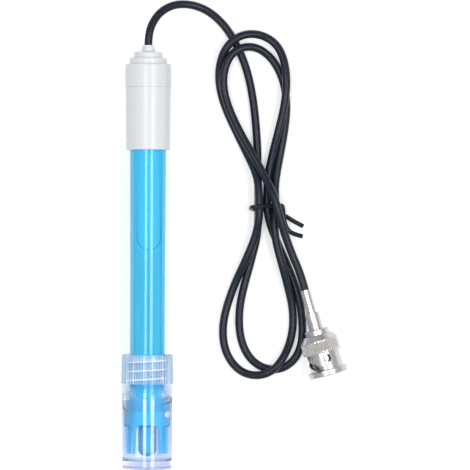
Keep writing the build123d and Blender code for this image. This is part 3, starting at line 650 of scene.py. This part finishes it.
def make_liquid():
    """The storage liquid, wetting the bottle's wall up to a slanting meniscus."""
    wall = VIAL_BORE / 2 + WETTING
    rounding = 1.4
    floor_y = VIAL_FLOOR_Y - WETTING
    wall_end_y = -58.0
    profile = [(0, floor_y), (3.0, floor_y)]
    profile += fillet_arc(wall - rounding, floor_y + rounding, rounding)
    profile += [(wall, -66.0), (wall, wall_end_y)]
    meniscus = [(wall, -51.35, 0.077), (7.5, -52.3, 0.10), (7.1, -53.3, 0.14), (6.7, -54.1, 0.18),
                (6.2, -54.6, 0.2), (3.0, -54.9, 0.2), (0, -54.9, 0.2)]
    points, faces = lathe([(radius, y, 0) for radius, y in profile] + meniscus)
    piece = mesh_piece("storage_liquid", points, faces, "bottle",
                       clear_liquid("storage_liquid_surface", 1.33))
    piece.data.materials.append(clear_liquid("meniscus_surface", 1.09))
    for face in piece.data.polygons:
        middle = face.center
        across = math.hypot(middle.x, middle.z - ELECTRODE_Z)
        if middle.y > wall_end_y * MM and across < (wall - 0.01) * MM:
            face.material_index = 1


def make_bubble():
    """An air bubble held against the bottle's wall in the liquid."""
    form = bmesh.new()
    bmesh.ops.create_uvsphere(form, u_segments=40, v_segments=20, radius=1)
    around, half_turn = math.radians(69), 0.25
    middle_y, half_length = -57.05, 1.15
    reach, half_depth = 7.15, 0.58
    for vertex in form.verts:
        turn = around + vertex.co.x * half_turn
        distance = reach + vertex.co.z * half_depth
        vertex.co = (distance * math.sin(turn), middle_y + vertex.co.y * half_length,
                     distance * math.cos(turn))
    points = [(v.co.x, v.co.y, v.co.z + ELECTRODE_Z / MM) for v in form.verts]
    faces = []
    for face in form.faces:
        corners = [v.index for v in face.verts]
        first = corners.index(min(corners))
        faces.append(corners[first:] + corners[:first])
    faces.sort()  # the sphere's faces come in another order in each run
    form.free()
    surface = Surface("air_bubble_surface", 0.05, transmission_weight=0.2, ior=1.1)
    surface.colours(surface.noise(300), (0.86, 0.88, 0.95), (0.95, 0.96, 1.0))
    surface.clear_to_lamps((1.0, 1.0, 1.0))
    mesh_piece("air_bubble", points, faces, "bottle", surface.material)


def thread_ridge(name, radius, height, start_y, end_y, body, material):
    """One round-crested thread ridge on a cylinder, fading out at both ends."""
    width = 1.1
    start_angle = 3.4
    steps_per_turn = 72
    fade_steps = 9
    shape = [(-0.5, -0.12), (-0.32, 0.35), (-0.12, 1.0), (0.12, 1.0), (0.32, 0.35), (0.5, -0.12)]
    count = int((end_y - start_y) / THREAD_PITCH * steps_per_turn)
    middle = ELECTRODE_Z / MM
    points = []
    for step in range(count + 1):
        turn = 2 * math.pi * step / steps_per_turn + start_angle
        y = start_y + THREAD_PITCH * step / steps_per_turn
        fade = min(1, step / fade_steps, (count - step) / fade_steps)
        for across, rise in shape:
            reach = radius + height * (rise * fade if rise > 0 else rise)
            points.append((reach * math.sin(turn), y + across * width,
                           middle + reach * math.cos(turn)))
    size = len(shape)
    faces = [tuple(range(size)), tuple(range(count * size, (count + 1) * size))]
    for step in range(count):
        for side in range(size):
            after = (side + 1) % size
            low, high = step * size, (step + 1) * size
            faces.append((low + side, high + side, high + after, low + after))
    mesh_piece(name, points, faces, body, material)


def on_plug(radius, angle, distance):
    """A point about the plug's axis, a distance along it, in millimetres."""
    side = radius * math.cos(angle)
    return (PLUG_END[0] + PLUG_AXIS[0] * distance - PLUG_AXIS[1] * side,
            PLUG_END[1] + PLUG_AXIS[1] * distance + PLUG_AXIS[0] * side,
            PLUG_END[2] + radius * math.sin(angle))


def make_knurl(material):
    """The diamond knurl on the coupling nut's band: four-sided points between crossed grooves."""
    start, end = 19.05, 23.25
    valley, peak, seat = 6.92, 7.12, 6.6
    columns, rows = 80, 8
    points = []
    for row in range(rows + 1):
        distance = start + (end - start) * row / rows
        for column in range(columns):
            raised = (row + column) % 2 == 1 and 0 < row < rows
            radius = peak if raised else valley
            points.append(on_plug(radius, 2 * math.pi * column / columns, distance))
    faces = []
    for row in range(rows):
        for column in range(columns):
            after = (column + 1) % columns
            low, low_after = row * columns + column, row * columns + after
            high, high_after = low + columns, low_after + columns
            if (row + column) % 2 == 1:
                faces += [(low, low_after, high), (low_after, high_after, high)]
            else:
                faces += [(low, low_after, high_after), (low, high_after, high)]
    base = len(points)
    for distance in (start, end):
        for column in range(columns):
            points.append(on_plug(seat, 2 * math.pi * column / columns, distance))
    for column in range(columns):
        after = (column + 1) % columns
        top = rows * columns
        faces.append((column, after, base + after, base + column))
        faces.append((top + column, top + after, base + columns + after, base + columns + column))
        faces.append((base + column, base + after, base + columns + after, base + columns + column))
    mesh_piece("knurl_band", points, faces, "nut", material, flat=True)


# Room

def make_floor():
    """A white floor, just clear of the object. It glows to the camera, in reflections and through
    clear pieces."""
    mesh = bpy.data.meshes.new("floor")
    half = 3.0
    corners = [(-half, -half, 0), (half, -half, 0), (half, half, 0), (-half, half, 0)]
    mesh.from_pydata(corners, [], [(0, 1, 2, 3)])
    floor = link(bpy.data.objects.new("floor", mesh))
    gap = 0.02
    floor.location.z = -gap * MM
    material = bpy.data.materials.new("floor_white")
    material.use_nodes = True
    tree = material.node_tree
    tree.nodes.clear()
    output = tree.nodes.new("ShaderNodeOutputMaterial")
    diffuse = tree.nodes.new("ShaderNodeBsdfDiffuse")
    diffuse.inputs["Color"].default_value = (0.75, 0.75, 0.76, 1)
    glow = tree.nodes.new("ShaderNodeEmission")
    rays = tree.nodes.new("ShaderNodeLightPath").outputs
    seen = either(tree, rays["Is Camera Ray"], rays["Is Glossy Ray"])
    seen = either(tree, seen, rays["Is Transmission Ray"])
    level = tree.nodes.new("ShaderNodeMath")
    level.operation = "MULTIPLY"
    level.inputs[1].default_value = 0.45
    tree.links.new(seen, level.inputs[0])
    tree.links.new(level.outputs[0], glow.inputs["Strength"])
    both = tree.nodes.new("ShaderNodeAddShader")
    tree.links.new(diffuse.outputs[0], both.inputs[0])
    tree.links.new(glow.outputs[0], both.inputs[1])
    tree.links.new(both.outputs[0], output.inputs["Surface"])
    mesh.materials.append(material)


def make_world():
    """An even pale room with a darker band straight overhead, between the two strip lamps.
    It is plain white to the camera, directly or through a clear piece."""
    world = bpy.data.worlds.new("room")
    bpy.context.scene.world = world
    world.use_nodes = True
    tree = world.node_tree
    tree.nodes.clear()
    output = tree.nodes.new("ShaderNodeOutputWorld")
    background = tree.nodes.new("ShaderNodeBackground")
    coordinates = tree.nodes.new("ShaderNodeTexCoord")
    parts = tree.nodes.new("ShaderNodeSeparateXYZ")
    lean = tree.nodes.new("ShaderNodeMath")
    lean.operation = "ARCTAN2"
    ramp = tree.nodes.new("ShaderNodeValToRGB")
    spread = tree.nodes.new("ShaderNodeMapRange")
    spread.inputs["From Min"].default_value = -math.pi / 2
    spread.inputs["From Max"].default_value = math.pi / 2
    tree.links.new(coordinates.outputs["Generated"], parts.inputs[0])
    tree.links.new(parts.outputs["X"], lean.inputs[0])
    tree.links.new(parts.outputs["Z"], lean.inputs[1])
    tree.links.new(lean.outputs[0], spread.inputs["Value"])
    tree.links.new(spread.outputs["Result"], ramp.inputs["Fac"])
    stops = [(0.0, 0.62), (0.40, 0.62), (0.44, 0.30), (0.64, 0.30), (0.68, 0.62), (1.0, 0.62)]
    elements = ramp.color_ramp.elements
    while len(elements) < len(stops):
        elements.new(0.5)
    for element, (place, level) in zip(elements, stops):
        element.position = place
        element.color = (level, level, level * 1.01, 1)
    rays = tree.nodes.new("ShaderNodeLightPath").outputs
    plain = either(tree, rays["Is Camera Ray"], rays["Is Transmission Ray"])
    seen = colour_mix(tree)
    tree.links.new(plain, seen.inputs[MIX_FACTOR])
    tree.links.new(ramp.outputs["Color"], seen.inputs[MIX_FIRST])
    seen.inputs[MIX_SECOND].default_value = (0.95, 0.95, 0.96, 1)
    tree.links.new(seen.outputs[MIX_RESULT], background.inputs["Color"])
    tree.links.new(background.outputs[0], output.inputs["Surface"])


def make_strip(name, lean_degrees, width):
    """A strip lamp along the electrode, leaning from straight overhead."""
    distance, length, radiance = 0.9, 0.5, 7.0
    data = bpy.data.lights.new(name, "AREA")
    data.shape = "RECTANGLE"
    data.size = width
    data.size_y = length
    data.energy = radiance * math.pi * width * length
    lamp = link(bpy.data.objects.new(name, data))
    lean = math.radians(lean_degrees)
    lamp.location = (distance * math.sin(lean), 0, distance * math.cos(lean))
    lamp.rotation_euler = (0, lean, 0)


make_camera()
dress_cad_nodes()
make_cable()
make_liquid()
make_bubble()
thread_ridge("neck_thread", radius=7.75, height=0.35, start_y=-45.77, end_y=-39.3, body="bottle",
             material=thread_highlight_material("neck_thread_painted_highlight", 0.7))
thread_ridge("cap_thread", radius=8.25, height=-0.35, start_y=-44.17, end_y=-38.9, body="cap",
             material=thread_highlight_material("cap_thread_painted_highlight", 0.15))
make_knurl(knurl_material())
make_floor()
make_world()
make_strip("left_strip", lean_degrees=-10.5, width=0.22)
make_strip("right_strip", lean_degrees=26.0, width=0.26)
bpy.context.scene.view_settings.view_transform = "Standard"
